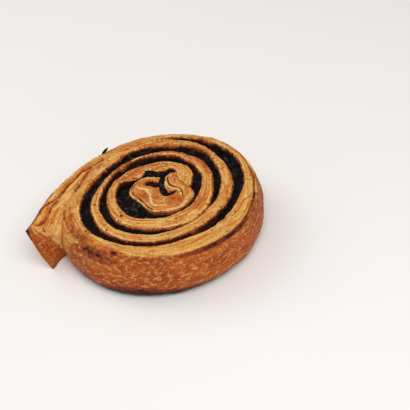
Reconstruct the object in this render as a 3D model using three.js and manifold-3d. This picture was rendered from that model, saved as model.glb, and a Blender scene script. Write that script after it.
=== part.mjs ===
// Cocoa roll: a flat coil of laminated dough, baked in one piece, with a cocoa filling that runs
// in a spiral through its top and with the outer end of the dough standing off as a tail.
//
// Millimetres, +Z up. The origin is on the flat underside, at the centre of the coil. The coil
// opens counterclockwise seen from above, and the tail points to -X.
import * as THREE from 'three';
import { mergeVertices } from 'three/addons/utils/BufferGeometryUtils.js';
import Module from 'manifold-3d';

const wasm = await Module();
wasm.setup();

// ---- Driving sizes ----

// Coil, measured at the edge of the top and at the widest part of the baked side.
const RIM_RADIUS = 53.5;
const RIM_HEIGHT = 28;
const CROWN_RISE = 2.5;
const SIDE_BULGE = 3.5;
const BULGE_HEIGHT = 11;
const RIM_ROUND = 2.2;
const BASE_ROUND = 3;
// How much wider the base flares than its round, and the shoulder between bulge and rim: its share
// of the bulge, and how far it lies above the middle of the two heights.
const BASE_FLARE = 1.25;
const SHOULDER_SHARE = 0.55;
const SHOULDER_LIFT = 1;

// Tail: how far its tip stands off the baked side, how far its foot leans back towards the coil,
// how far its top lies below the rim, and the place of the crevice between it and the coil.
const TAIL_STANDOFF = 20.5;
const TAIL_TIP_ANGLE = 191;
const TAIL_LEAN = 8.5;
const TAIL_DROP = 0.6;
const CREVICE_ANGLE = 179;
// The tail's thickness: at its tip, in full, and as [share of the way from the crevice to the
// tip, share of the full thickness].
const TAIL_TIP_THICKNESS = 1.4;
const TAIL_THICKNESS = 9;
const TAIL_TAPER = [[0.25, 0.95], [0.7, 0.55]];
// How far the end face bulges at its middle.
const END_FACE_BULGE = 0.6;
// Where the tail's outer side starts, just inside the coil, and where and by how much it then
// stands clear of the rim.
const TAIL_START_ANGLE = 112;
const TAIL_CLEAR_ANGLE = 149;
const TAIL_CLEARANCE = 2.5;
const TAIL_INSET = 1;
// Angle over which the crevice's wall runs back into the coil.
const CREVICE_RUN_IN = 12;

// Filling: depth of its spiral groove below the top, and of the short folds in the core.
const GROOVE_DEPTH = 2.4;
const FOLD_DEPTH = 1.6;

// The filling is drawn for a coil of this rim radius, and spreads with RIM_RADIUS.
const DRAWN_RIM_RADIUS = 53.5;

// The filling's spiral, as [angle in degrees, radius, width]. The angle keeps counting up
// over the three turns, and the band is pressed thin where the layers rose against each other.
const FILLING = [
  [150, 22.5, 5.5], [180, 21.0, 8.5], [210, 19.5, 10.5], [240, 19.3, 6.5], [270, 18.8, 4.8],
  [300, 19.0, 2.8], [330, 19.0, 2.4], [360, 19.3, 5.5], [380, 21.8, 6.5], [400, 25.5, 2.8],
  [430, 29.6, 5.8], [460, 30.5, 5.8], [500, 31.2, 3.0], [540, 32.8, 3.6], [580, 34.4, 4.2],
  [610, 33.3, 4.0], [650, 31.8, 1.4], [680, 30.6, 1.0], [715, 30.7, 3.8], [745, 34.0, 4.5],
  [775, 38.6, 7.0], [820, 39.2, 7.0], [855, 37.9, 5.2], [890, 40.7, 6.0], [930, 45.2, 6.2],
  [965, 44.6, 3.6], [1000, 41.6, 4.0], [1030, 40.3, 5.2], [1060, 40.9, 5.1], [1090, 43.4, 6.6],
  [1115, 46.0, 7.0], [1140, 48.0, 3.6], [1165, 49.2, 1.0],
];

// Folds of filling in the core, as [x1, y1, width1, x2, y2, width2].
const CORE_FOLDS = [
  [-6.0, 21.0, 4.2, 1.5, 16.4, 3.0],
  [8.0, 19.6, 2.4, 1.5, 16.4, 3.0],
  [1.5, 16.0, 2.0, 0.6, 5.0, 1.0],
  [-7.0, 9.2, 3.0, -1.6, 7.2, 2.0],
  [0.4, -1.4, 2.2, 5.6, -2.6, 1.4],
];

// ---- Resolution ----

const COIL_SEGMENTS = 90;
const SIDE_STEPS = 12;
const CROWN_RINGS = 5;
const TAIL_STEPS = 20;
const STEPS_PER_KNOT = 5;
const FOLD_END_STEPS = 4;
// Vertices closer than this are the same vertex.
const MERGE_DISTANCE = 1e-4;
// How far a cutter or a joined piece runs past the surface that it meets.
const OVERRUN = 6;

const baked = new THREE.MeshStandardMaterial({
  name: 'baked_dough',
  color: 0xd39a4f,
  roughness: 0.62,
  metalness: 0,
});

// ---- Helpers ----

const radians = THREE.MathUtils.degToRad;

/** Radius of the baked side where it bulges most. */
const sideRadius = RIM_RADIUS + SIDE_BULGE;

/** How much wider or narrower than drawn the filling is laid out. */
const spread = RIM_RADIUS / DRAWN_RIM_RADIUS;

/** The point at an angle in degrees and a radius, seen from above. */
function polar(degrees, radius) {
  return new THREE.Vector2(radius, 0).rotateAround(new THREE.Vector2(), radians(degrees));
}

/** Height of the crowned top above its rim at a distance from the coil's centre. */
function crown(distance) {
  const share = Math.min(distance / RIM_RADIUS, 1);
  return CROWN_RISE * (1 - share * share);
}

/** A closed geometry as a manifold-3d solid. */
function toSolid(geometry) {
  const bare = geometry.index ? geometry.toNonIndexed() : geometry.clone();
  bare.deleteAttribute('normal');
  bare.deleteAttribute('uv');
  const merged = mergeVertices(bare, MERGE_DISTANCE);
  return new wasm.Manifold(new wasm.Mesh({
    numProp: 3,
    vertProperties: merged.attributes.position.array,
    triVerts: Uint32Array.from(merged.index.array),
  }));
}

/** A manifold-3d solid as a geometry. */
function toGeometry(solid) {
  const mesh = solid.getMesh();
  const geometry = new THREE.BufferGeometry();
  geometry.setAttribute('position', new THREE.BufferAttribute(mesh.vertProperties, 3));
  geometry.setIndex(new THREE.BufferAttribute(mesh.triVerts, 1));
  geometry.computeVertexNormals();
  return geometry;
}

/** Moves every vertex of a geometry by a rule that changes the point it is given. */
function bend(geometry, rule) {
  const positions = geometry.attributes.position;
  const point = new THREE.Vector3();
  for (let i = 0; i < positions.count; i += 1) {
    point.fromBufferAttribute(positions, i);
    rule(point);
    positions.setXYZ(i, point.x, point.y, point.z);
  }
  return geometry;
}

/** A plan outline raised from the height `low` by `depth`. */
function prism(outline, low, depth) {
  const geometry = new THREE.ExtrudeGeometry(new THREE.Shape(outline), {
    depth,
    bevelEnabled: false,
  });
  return geometry.translate(0, 0, low);
}

// ---- Coil ----

/** The baked body: a section turned about the coil's axis. */
function coil() {
  const baseRadius = RIM_RADIUS - BASE_ROUND;
  const shoulderHeight = (BULGE_HEIGHT + RIM_HEIGHT) / 2 + SHOULDER_LIFT;
  const side = new THREE.SplineCurve([
    new THREE.Vector2(baseRadius, 0),
    new THREE.Vector2(baseRadius + BASE_ROUND * BASE_FLARE, BASE_ROUND),
    new THREE.Vector2(sideRadius, BULGE_HEIGHT),
    new THREE.Vector2(RIM_RADIUS + SIDE_BULGE * SHOULDER_SHARE, shoulderHeight),
    new THREE.Vector2(RIM_RADIUS, RIM_HEIGHT - RIM_ROUND),
    new THREE.Vector2(RIM_RADIUS - RIM_ROUND, RIM_HEIGHT + crown(RIM_RADIUS - RIM_ROUND)),
  ]);
  const section = [new THREE.Vector2(0, 0), ...side.getPoints(SIDE_STEPS)];
  for (let ring = CROWN_RINGS - 1; ring > 0; ring -= 1) {
    const radius = (ring / CROWN_RINGS) * RIM_RADIUS;
    section.push(new THREE.Vector2(radius, RIM_HEIGHT + crown(radius)));
  }
  section.push(new THREE.Vector2(0, RIM_HEIGHT + CROWN_RISE));
  return toSolid(new THREE.LatheGeometry(section, COIL_SEGMENTS).rotateX(Math.PI / 2));
}

// ---- Tail ----

/** The outer end of the dough, which leaves the coil, thins and stands off at the left. */
function tail() {
  const tip = polar(TAIL_TIP_ANGLE, sideRadius + TAIL_STANDOFF);
  const crevice = polar(CREVICE_ANGLE, sideRadius - TAIL_INSET);
  const endFace = tip.clone().sub(crevice).normalize();
  const outwards = new THREE.Vector2(endFace.y, -endFace.x);
  const tapered = TAIL_TAPER.map(([share, thickness]) => (
    crevice.clone().lerp(tip, share).addScaledVector(outwards, TAIL_THICKNESS * thickness)
  ));
  const outer = new THREE.SplineCurve([
    polar(TAIL_START_ANGLE, RIM_RADIUS - TAIL_INSET),
    polar(TAIL_CLEAR_ANGLE, RIM_RADIUS + TAIL_CLEARANCE),
    ...tapered,
    tip,
  ]).getPoints(TAIL_STEPS);
  const inner = new THREE.SplineCurve([
    tip.clone().addScaledVector(outwards, -TAIL_TIP_THICKNESS),
    crevice.clone().lerp(tip, 0.5).addScaledVector(outwards, -END_FACE_BULGE),
    crevice,
    polar(CREVICE_ANGLE - CREVICE_RUN_IN, RIM_RADIUS - OVERRUN),
    polar(TAIL_START_ANGLE, RIM_RADIUS - OVERRUN),
  ]).getPoints(TAIL_STEPS);
  const height = RIM_HEIGHT - TAIL_DROP;
  return toSolid(bend(prism([...outer, ...inner], 0, height), (point) => {
    const past = (Math.hypot(point.x, point.y) - sideRadius) / TAIL_STANDOFF;
    point.x += TAIL_LEAN * THREE.MathUtils.clamp(past, 0, 1) * (1 - point.z / height);
  }));
}

// ---- Filling ----

/** The spiral groove that the filling lies in. */
function spiralGroove() {
  const knots = FILLING.map(([angle, radius, width]) => {
    const place = polar(angle, radius * spread);
    return new THREE.Vector3(place.x, place.y, width);
  });
  const route = new THREE.CatmullRomCurve3(knots, false, 'centripetal');
  const count = (knots.length - 1) * STEPS_PER_KNOT;
  const outer = [];
  const inner = [];
  for (let i = 0; i <= count; i += 1) {
    const here = route.getPoint(i / count);
    const along = route.getTangent(i / count);
    const half = here.z / 2 / Math.hypot(along.x, along.y);
    outer.push(new THREE.Vector2(here.x + along.y * half, here.y - along.x * half));
    inner.push(new THREE.Vector2(here.x - along.y * half, here.y + along.x * half));
  }
  const depth = GROOVE_DEPTH + OVERRUN;
  const cutter = prism([...outer, ...inner.reverse()], RIM_HEIGHT - GROOVE_DEPTH, depth);
  return toSolid(bend(cutter, (point) => {
    point.z += crown(Math.hypot(point.x, point.y));
  }));
}

/** A short fold of filling in the core, with round ends of different widths. */
function coreFold([x1, y1, width1, x2, y2, width2]) {
  const from = new THREE.Vector2(x1, y1).multiplyScalar(spread);
  const to = new THREE.Vector2(x2, y2).multiplyScalar(spread);
  const heading = to.clone().sub(from).angle();
  const outline = new THREE.Path();
  outline.absarc(from.x, from.y, width1 / 2, heading + Math.PI / 2, heading + Math.PI * 1.5);
  outline.absarc(to.x, to.y, width2 / 2, heading - Math.PI / 2, heading + Math.PI / 2);
  const floor = RIM_HEIGHT + crown(from.length()) - FOLD_DEPTH;
  return toSolid(prism(outline.getPoints(FOLD_END_STEPS), floor, FOLD_DEPTH + OVERRUN));
}

// ---- Cocoa roll ----

/** The whole roll as one solid. */
function roll() {
  let solid = coil().add(tail()).subtract(spiralGroove());
  for (const fold of CORE_FOLDS) {
    solid = solid.subtract(coreFold(fold));
  }
  return toGeometry(solid);
}

const cocoaRoll = new THREE.Mesh(roll(), baked);
cocoaRoll.name = 'cocoa_roll';

const model = new THREE.Group();
model.add(cocoaRoll);

export default model;
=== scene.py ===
"""Cocoa roll: the looks of the baked coil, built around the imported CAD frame.

The dough is a ribbon wound into a coil. Its sections run along the coil's turns, so the layers
of the dough, the streaks and the crust follow the real windings. The cocoa filling lies between
the turns. Sizes below are in millimetres and meshes are written in metres.
"""
import math
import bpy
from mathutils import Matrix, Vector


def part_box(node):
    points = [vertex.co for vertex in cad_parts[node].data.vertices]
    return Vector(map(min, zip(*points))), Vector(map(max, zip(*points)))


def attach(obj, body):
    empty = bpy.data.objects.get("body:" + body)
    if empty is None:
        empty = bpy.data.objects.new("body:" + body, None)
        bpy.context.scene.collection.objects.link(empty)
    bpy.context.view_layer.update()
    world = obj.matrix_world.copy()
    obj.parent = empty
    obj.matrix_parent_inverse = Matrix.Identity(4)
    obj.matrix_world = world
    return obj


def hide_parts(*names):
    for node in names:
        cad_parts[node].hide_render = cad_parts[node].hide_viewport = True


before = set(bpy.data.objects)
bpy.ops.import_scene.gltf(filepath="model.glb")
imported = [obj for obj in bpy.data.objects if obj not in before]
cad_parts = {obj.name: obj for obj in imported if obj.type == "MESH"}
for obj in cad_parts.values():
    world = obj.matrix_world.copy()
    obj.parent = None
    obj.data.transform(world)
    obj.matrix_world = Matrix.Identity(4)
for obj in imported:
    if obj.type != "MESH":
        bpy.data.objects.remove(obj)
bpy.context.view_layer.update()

from types import SimpleNamespace

import bmesh
import bpy
import numpy as np
from mathutils import Matrix, Vector

MM = 0.001
SHARP_ANGLE = math.radians(62)

# ---- Sizes from the frame ----

NODE = "cocoa_roll"
node_low, node_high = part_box(NODE)
SIDE_RADIUS = node_high.x / MM
TOP_Z = node_high.z / MM

SIDE_BULGE = 3.5
RIM_RADIUS = SIDE_RADIUS - SIDE_BULGE
CROWN_RISE = 1.8
RIM_Z = TOP_Z - 2.5
# The turns' centres drift forward towards the middle of the coil.
CENTRE_DRIFT = 2.25

# ---- The coil's lines, as (angle in degrees, radius) ----

# Cocoa filling: angle, radius of its middle, width. The angle counts up over three turns.
FILLING = np.array([
    (144, 23.0, 5.0), (160, 22.3, 7.0), (180, 21.0, 8.6), (210, 19.5, 10.5), (225, 19.6, 9.4),
    (240, 19.3, 6.5), (270, 18.8, 4.8), (290, 19.0, 3.0), (330, 19.0, 2.3), (350, 19.3, 4.0),
    (365, 19.5, 6.4), (380, 21.8, 6.2), (400, 25.5, 2.8), (413, 27.4, 2.8), (430, 29.6, 5.8),
    (460, 30.5, 5.8), (485, 31.2, 4.0), (500, 31.2, 3.0), (530, 32.0, 2.8), (550, 33.4, 4.2),
    (580, 34.4, 4.2), (610, 33.3, 4.2), (633, 32.4, 2.2), (650, 31.8, 1.4), (680, 30.6, 1.0),
    (700, 30.3, 2.6), (720, 31.0, 3.8), (745, 34.0, 4.5), (760, 36.6, 5.6), (775, 38.6, 7.0),
    (800, 39.2, 6.0), (822, 39.2, 7.2), (855, 37.9, 5.2), (875, 38.8, 5.8), (900, 42.3, 6.1),
    (920, 44.4, 6.4), (935, 45.1, 5.0), (955, 44.5, 3.2), (985, 42.6, 2.4), (1005, 40.8, 3.2),
    (1030, 40.2, 4.8), (1060, 40.9, 5.1), (1080, 42.9, 6.0), (1104, 45.0, 7.7), (1120, 46.4, 6.6),
    (1136, 48.0, 3.9), (1152, 48.8, 1.9), (1172, 49.3, 0.5),
])
FILLING_START, FILLING_END = FILLING[0, 0], FILLING[-1, 0]
# The wide stripes of the table looked this much too wide in the render, in mm.
STRIPE_EXCESS = 0.9

# Seam where the last two layers fused with no filling between them, down to the crevice.
SEAM = np.array([
    (1172, 49.3), (1190, 48.8), (1215, 47.4), (1232, 47.4), (1243, 49.4), (1252, 52.0),
    (1260, 54.4),
])

# Inner edge of the dough before the filling's first turn: the lobe and the top band of the core.
CORE_EDGE = np.array([
    (366, 13.6), (380, 12.6), (392, 12.6), (404, 13.4), (415, 16.6), (424, 19.6), (430, 20.2),
    (438, 17.8), (450, 17.6), (458, 18.9), (466, 21.2), (473, 19.8), (482, 18.0), (490, 18.2),
    (499, 20.2), (504, 23.0), (510, 25.2),
])

# Exposed outer edge of the last turn at the rim, round the coil and out along the tail.
RIM = np.array([
    (1260, 54.4), (1270, 54.8), (1280, 54.4), (1300, 53.7), (1350, 53.9), (1395, 53.3),
    (1440, 53.0), (1485, 54.0), (1530, 53.2), (1552, 53.2), (1575, 54.2), (1592, 57.2),
    (1610.5, 63.4), (1621.8, 69.4), (1628, 74.4), (1630.2, 76.9), (1631.4, 77.9),
])
# Inner edge of the tail: along the crevice, then out along the end face.
TAIL_INNER = np.array([
    (1620, 54.4), (1625, 55.6), (1628.6, 57.4), (1630.2, 60.5), (1631.0, 67.0), (1631.4, 76.9),
])
CREVICE = 1260
RIBBON_START = 366
RIBBON_END = 1631.4
SPLIT = 1150
# Where the outer edge comes out at the rim, and where the last turn becomes the tail.
EXPOSED_FROM, TAIL_FROM = (1256, 1266), (1588, 1624)
# Stretches of the ribbon: the soft crumb on each side of the crevice, the sunk cocoa and where it is
# thin, the wall that it leaves bare, and the dark line along the rim and its darkest part.
TENDER_INSIDE, TENDER_OUTSIDE = (1580, 1600, 1621, 1627), (1220, 1240, 1261, 1267)
SUNK_COCOA, THIN_COCOA = (925, 965, 1015, 1050), (930, 960, 1015, 1045)
BARE_INSIDE = (1285, 1325, 1375, 1410)
RIM_LINE, RIM_LINE_DARK = (1272, 1290, 1500, 1540), (1346, 1380, 1445, 1475)
# How far the foot of the tail's end stands off its top corner.
TAIL_LEAN = (8.3, -3.0)
TAIL_ROOT_RADIUS = 58.5
TAIL_TIP_RADIUS = 77.9
TAIL_WIDTH = 15.0
CREVICE_RADIUS = 54.4

# Baked side: how far the wall stands proud of the rim at a height.
SIDE_PROFILE = np.array([
    (0.0, -2.7), (0.5, -1.4), (1.5, 0.0), (4.5, 2.1), (10.5, 3.4), (16.0, 3.1), (21.0, 1.9),
    (24.5, 0.8), (26.5, 0.0), (30.0, -0.8),
])

# How far the foot of the side stands out or in, by angle: the roll leans a little to the right.
SKEW = np.array([
    (1255, 1.2), (1275, 2.4), (1300, 2.7), (1320, 2.0), (1342, 0.8), (1365, -0.6), (1385, -1.5),
    (1410, -1.9), (1430, -1.5), (1455, -0.6), (1480, 0.0), (1631.4, 0.0),
])


# ---- Curves and noise ----

def curve_at(knots, x, column=1):
    """Smooth curve through the knots (first column) at x, by cubic pieces."""
    kx, ky = knots[:, 0], knots[:, column]
    slope = np.gradient(ky, kx)
    steps = np.diff(ky) / np.diff(kx)
    # A slope never overshoots its neighbouring steps, so a curve stays between its knots.
    for i in range(1, len(kx) - 1):
        if steps[i - 1] * steps[i] <= 0:
            slope[i] = 0
        else:
            limit = 3 * min(abs(steps[i - 1]), abs(steps[i]))
            slope[i] = math.copysign(min(abs(slope[i]), limit), slope[i])
    x = np.clip(x, kx[0], kx[-1])
    i = np.clip(np.searchsorted(kx, x, side="right") - 1, 0, len(kx) - 2)
    h = kx[i + 1] - kx[i]
    t = (x - kx[i]) / h
    return ((2 * t**3 - 3 * t**2 + 1) * ky[i] + (t**3 - 2 * t**2 + t) * h * slope[i]
            + (3 * t**2 - 2 * t**3) * ky[i + 1] + (t**3 - t**2) * h * slope[i + 1])


def hashed(ix, iy, iz, seed):
    """A repeatable number from 0 to 1 for each lattice point."""
    n = (ix * 374761393 + iy * 668265263 + iz * 2147483647 + seed * 1274126177) & 0xFFFFFFFF
    n = ((n ^ (n >> 13)) * 1274126177) & 0xFFFFFFFF
    n = ((n ^ (n >> 16)) * 2246822519) & 0xFFFFFFFF
    return ((n ^ (n >> 15)) & 0xFFFFFF) / float(0xFFFFFF)


def noise(x, y, z, seed=0):
    """Smooth noise from -1 to 1."""
    x, y, z = np.broadcast_arrays(x, y, z)
    base = [np.floor(v).astype(np.int64) for v in (x, y, z)]
    part = [v - b for v, b in zip((x, y, z), base)]
    ease = [p * p * p * (p * (p * 6 - 15) + 10) for p in part]
    total = 0.0
    for dx in (0, 1):
        for dy in (0, 1):
            for dz in (0, 1):
                weight = ((ease[0] if dx else 1 - ease[0]) * (ease[1] if dy else 1 - ease[1])
                          * (ease[2] if dz else 1 - ease[2]))
                total = total + weight * hashed(base[0] + dx, base[1] + dy, base[2] + dz, seed)
    return total * 2 - 1


def layered(x, y, z, seed=0, octaves=3):
    """Noise summed over a few finer and weaker octaves."""
    total, weight = 0.0, 1.0
    for i in range(octaves):
        total = total + weight * noise(x * 2**i, y * 2**i, z * 2**i, seed + i)
        weight *= 0.5
    return total / 1.75


def ramp(x, low, high):
    """Smooth step from 0 at low to 1 at high."""
    t = np.clip((x - low) / (high - low), 0, 1)
    return t * t * (3 - 2 * t)


def bell(x, middle, reach):
    """Rounded hump, 1 high at its middle."""
    return np.exp(-((x - middle) / reach) ** 2)


def stretch(angle, marks):
    """1 along a stretch that eases in between its first two marks and out between its last two."""
    return ramp(angle, marks[0], marks[1]) * ramp(angle, marks[3], marks[2])


# ---- The coil's shape ----

def crown(radius):
    """Height of the top above the rim at a radius."""
    return CROWN_RISE * (1 - np.minimum(radius / RIM_RADIUS, 1) ** 2)


def filling_width(angle):
    """Width of the filling. Narrow stripes keep the table's width, wide ones are drawn narrower."""
    width = curve_at(FILLING, angle, 2)
    return width - STRIPE_EXCESS * ramp(width, 1.5, 5.5)


def filling_edge(angle, side):
    """Radius of the filling's inner (-1) or outer (+1) edge, with a little waver."""
    middle = curve_at(FILLING, angle, 1)
    width = filling_width(angle)
    along = np.radians(angle) * middle
    waver = (0.34 * layered(along / 5.0, 0.0, 0.0, 11 + side)
             + 0.15 * noise(along / 1.3, 0.0, 0.0, 15 + side))
    waver = waver * np.clip(width / 2.5, 0.15, 1)
    return middle + side * width / 2 + waver


def ribbon_inner(angle):
    """Radius of the dough ribbon's inner edge."""
    core = curve_at(CORE_EDGE, angle)
    coil = filling_edge(angle - 360, 1)
    seam = curve_at(SEAM, angle - 360)
    tail = curve_at(TAIL_INNER, angle)
    return np.select([angle < CORE_EDGE[-1, 0], angle - 360 < FILLING_END, angle < TAIL_INNER[0, 0]],
                     [core, coil, seam], tail)


def ribbon_outer(angle):
    """Radius of the dough ribbon's outer edge at the top."""
    coil = filling_edge(angle, -1)
    seam = curve_at(SEAM, angle)
    return np.select([angle < FILLING_END, angle < CREVICE], [coil, seam], curve_at(RIM, angle))


def to_plan(angle, radius):
    """Plan position of polar points, with the turns' drift."""
    theta = np.radians(angle)
    drift = CENTRE_DRIFT * (1 - np.minimum(radius / RIM_RADIUS, 1) ** 2)
    return radius * np.cos(theta), radius * np.sin(theta) - drift


def rung_angles(start, end, step, inner, outer):
    """Angles for sections that lie at most `step` apart at either edge."""
    fine = np.linspace(start, end, 24000)
    a, b = inner(fine), outer(fine)
    turn = np.radians(np.gradient(fine)) * np.maximum(a, b)
    travel = np.maximum(turn, np.maximum(np.abs(np.gradient(a)), np.abs(np.gradient(b))))
    length = np.concatenate([[0], np.cumsum(travel[1:])])
    count = int(length[-1] / step) + 1
    return np.interp(np.linspace(0, length[-1], count), length, fine)


# ---- Mesh writing ----

def grid_normals(points):
    """Normals of a grid of points whose second axis closes on itself."""
    along = np.gradient(points, axis=0)
    across = np.roll(points, -1, axis=1) - np.roll(points, 1, axis=1)
    normal = np.cross(across, along)
    return normal / np.maximum(np.linalg.norm(normal, axis=2, keepdims=True), 1e-9)


def tube_faces(rungs, size):
    """Quads of a closed tube of sections, with a fan at each end. Adds two middle points."""
    i = np.arange(rungs - 1)[:, None] * size
    j = np.arange(size)[None, :]
    k = (j + 1) % size
    quads = np.stack([i + j, i + k, i + size + k, i + size + j], axis=-1).reshape(-1, 4)
    first, last = rungs * size, rungs * size + 1
    ring = np.arange(size)
    nxt = (ring + 1) % size
    start = np.stack([np.full(size, first), nxt, ring], axis=-1)
    base = (rungs - 1) * size
    end = np.stack([np.full(size, last), base + ring, base + nxt], axis=-1)
    return quads, np.concatenate([start, end])


def outward_normals(points, on_top):
    """Normals of a closed grid, turned so that those of its top point up."""
    normal = grid_normals(points)
    return -normal if normal[on_top][..., 2].mean() < 0 else normal


def tube_mesh(name, points, fields, cap_cells=slice(None)):
    """A closed tube with attributes. The middles of its ends take after their cap cells."""
    def with_ends(values, cells):
        ends = np.stack([values[0, cells].mean(0), values[-1, cells].mean(0)])
        return np.concatenate([values.reshape(-1, 3), ends])

    quads, fans = tube_faces(*points.shape[:2])
    return write_mesh(name, with_ends(points, slice(None)), quads.tolist() + fans.tolist(),
                      {key: with_ends(values, cap_cells) for key, values in fields.items()})


def write_mesh(name, points, faces, attributes):
    """A mesh object from points in mm, faces and three numbers per point for each attribute."""
    mesh = bpy.data.meshes.new(name)
    mesh.from_pydata((points * MM).tolist(), [], faces)
    for key, values in attributes.items():
        layer = mesh.attributes.new(key, "FLOAT_VECTOR", "POINT")
        layer.data.foreach_set("vector", np.ascontiguousarray(values, dtype=np.float32).ravel())
    mesh.polygons.foreach_set("use_smooth", [True] * len(mesh.polygons))
    mesh.set_sharp_from_angle(angle=SHARP_ANGLE)
    mesh.update()
    piece = bpy.data.objects.new(name, mesh)
    bpy.context.collection.objects.link(piece)
    return piece


def strip_uvs(piece, rungs, size, strips, weights):
    """Bake layout: the tube unrolled and laid out as a few strips, one above the other."""
    mesh = piece.data
    layer = mesh.uv_layers.new(name="OFBake")
    per = int(math.ceil((rungs - 1) / strips))
    rise = np.concatenate([[0], np.cumsum(weights)])
    rise = rise / rise[-1]
    i = np.repeat(np.arange(rungs - 1), size)
    j = np.tile(np.arange(size), rungs - 1)
    strip = i // per
    u0 = (i - strip * per) / per
    u1 = u0 + 1 / per
    room = 0.94 / strips
    low = strip / strips * 0.97 + 0.004
    v0, v1 = low + rise[j] * room, low + rise[j + 1] * room
    u0, u1 = 0.005 + u0 * 0.99, 0.005 + u1 * 0.99
    quad = np.stack([u0, v0, u0, v1, u1, v1, u1, v0], axis=-1).reshape(-1, 2)
    caps = len(mesh.loops) - len(quad)
    spot = np.arange(caps)
    cap = np.stack([0.01 + 0.98 * (spot // 3) / (caps / 3) + 0.001 * (spot % 3),
                    0.985 + 0.004 * (spot % 2)], axis=-1)
    layer.data.foreach_set("uv", np.concatenate([quad, cap]).astype(np.float32).ravel())


# A round piece in its bake: the middle and radius of its top, and of its underside.
BAKE_TOP, BAKE_LOW = (0.41, 0.58, 0.40), (0.905, 0.25, 0.085)


def disc_uvs(piece, rows, sides, rows_top, rows_wall, share, theta):
    """Bake layout of a round piece: its top as a disc, its wall as a strip, its underside small."""
    layer = piece.data.uv_layers.new(name="OFBake")
    i = np.repeat(np.arange(rows - 1), sides)
    j = np.tile(np.arange(sides), rows - 1)
    k = np.where(j + 1 == sides, 0, j + 1)

    def disc(row, side, place):
        u, v, scale = place
        return np.stack([u + scale * share[row] * np.cos(theta[side]),
                         v + scale * share[row] * np.sin(theta[side])], axis=-1)

    def strip(row, side, turned):
        height = (row - rows_top + 1) / (rows_wall + 1)
        across = np.where(turned, 1.0, side / sides)
        return np.stack([0.01 + 0.98 * across, 0.01 + 0.13 * height], axis=-1)

    def cap(row, place, order):
        edge = [disc(np.full(sides, row), side, place) for side in order]
        return np.stack([np.tile(place[:2], (sides, 1))] + edge, axis=1).reshape(-1, 2)

    wraps = j + 1 == sides
    on_top, on_wall = (i < rows_top - 1)[:, None], (i < rows_top + rows_wall - 1)[:, None]
    corners = []
    for row, side, turned in ((i, j, False), (i, k, wraps), (i + 1, k, wraps), (i + 1, j, False)):
        corners.append(np.where(on_top, disc(row, side, BAKE_TOP),
                                np.where(on_wall, strip(row, side, turned), disc(row, side, BAKE_LOW))))
    quad = np.stack(corners, axis=1).reshape(-1, 2)
    ring = np.arange(sides)
    nxt = (ring + 1) % sides
    start, end = cap(0, BAKE_TOP, (nxt, ring)), cap(rows - 1, BAKE_LOW, (ring, nxt))
    layout = np.concatenate([quad, start, end])
    layer.data.foreach_set("uv", layout.astype(np.float32).ravel())


# ---- Dough ribbon ----

def running_length():
    """Length along the middle of the ribbon, as angles and millimetres."""
    angle = np.linspace(RIBBON_START, RIBBON_END, 6000)
    middle = (ribbon_inner(angle) + ribbon_outer(angle)) / 2
    turn = np.diff(np.radians(angle)) * (middle[1:] + middle[:-1]) / 2
    return angle, np.concatenate([[0], np.cumsum(turn)])


RUN_ANGLE, RUN_LENGTH = running_length()


def distance_to(line, x, y, carry=None):
    """Distance in plan from points to a sampled line, and a value carried along the line."""
    flat = np.stack([x.ravel(), y.ravel()], axis=1)
    best = np.full(len(flat), 1e9)
    carried = np.zeros(len(flat))
    for i in range(0, len(line), 64):
        part = line[i:i + 64]
        gap = np.hypot(flat[:, 0:1] - part[:, 0], flat[:, 1:2] - part[:, 1])
        k = gap.argmin(axis=1)
        near = gap[np.arange(len(flat)), k]
        closer = near < best
        best = np.where(closer, near, best)
        if carry is not None:
            carried = np.where(closer, carry[i:i + 64][k], carried)
    return best.reshape(x.shape), carried.reshape(x.shape)


def polyline(points, step=0.25, closed=False):
    """A smooth line through hand-set points, sampled about every `step` mm."""
    points = np.asarray(points, dtype=float)
    if closed:
        padded = np.concatenate([points[-1:], points, points[:2]])
    else:
        padded = np.concatenate([2 * points[:1] - points[1:2], points, 2 * points[-1:] - points[-2:-1]])
    rows = []
    for i in range(1, len(padded) - 2):
        p0, p1, p2, p3 = padded[i - 1:i + 3]
        count = max(2, int(np.linalg.norm((p2 - p1)[:2]) / step))
        t = np.linspace(0, 1, count, endpoint=False)[:, None]
        rows.append(0.5 * (2 * p1 + (p2 - p0) * t + (2 * p0 - 5 * p1 + 4 * p2 - p3) * t**2
                           + (3 * p1 - p0 - 3 * p2 + p3) * t**3))
    line = np.concatenate(rows)
    return line if closed else np.concatenate([line, points[-1:]])


# Flaky edges of the layers on the tail and beside the seam, in plan: points, half width, depth.
FLAKE_LINES = [
    ([(-30.5, 37.0), (-38.0, 31.2), (-44.4, 26.6), (-48.1, 21.5), (-51.7, 17.6), (-53.8, 13.6),
      (-55.9, 9.9), (-59.0, 6.8), (-63.4, 3.8), (-66.3, 1.0), (-68.7, -2.4), (-71.0, -6.0)], 0.60, 1.0),
    ([(-55.9, 9.5), (-59.1, 4.1), (-61.6, -0.1), (-63.2, -4.4), (-65.4, -7.0), (-68.0, -9.7),
      (-70.4, -11.5)], 0.50, 0.9),
    ([(-37.5, 30.0), (-43.1, 21.5), (-45.3, 17.5), (-47.5, 14.1)], 0.5, 0.6),
    ([(-51.0, -8.0), (-50.9, -15.9), (-47.9, -22.6), (-45.2, -28.2)], 0.5, 0.4),
]
# Small holes where the tail tore away from the coil.
HOLES = [(-45.6, 16.0, 1.0), (-47.4, 13.4, 0.9), (-54.6, -1.4, 0.8), (-55.6, -6.5, 0.6),
         (-53.6, 2.4, 0.4)]
# A crease across the last turn at the right.
RIM_CREASE = [(52.6, -12.4), (50.0, -14.0), (47.6, -15.3), (44.2, -17.8), (42.2, -19.8)]
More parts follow.
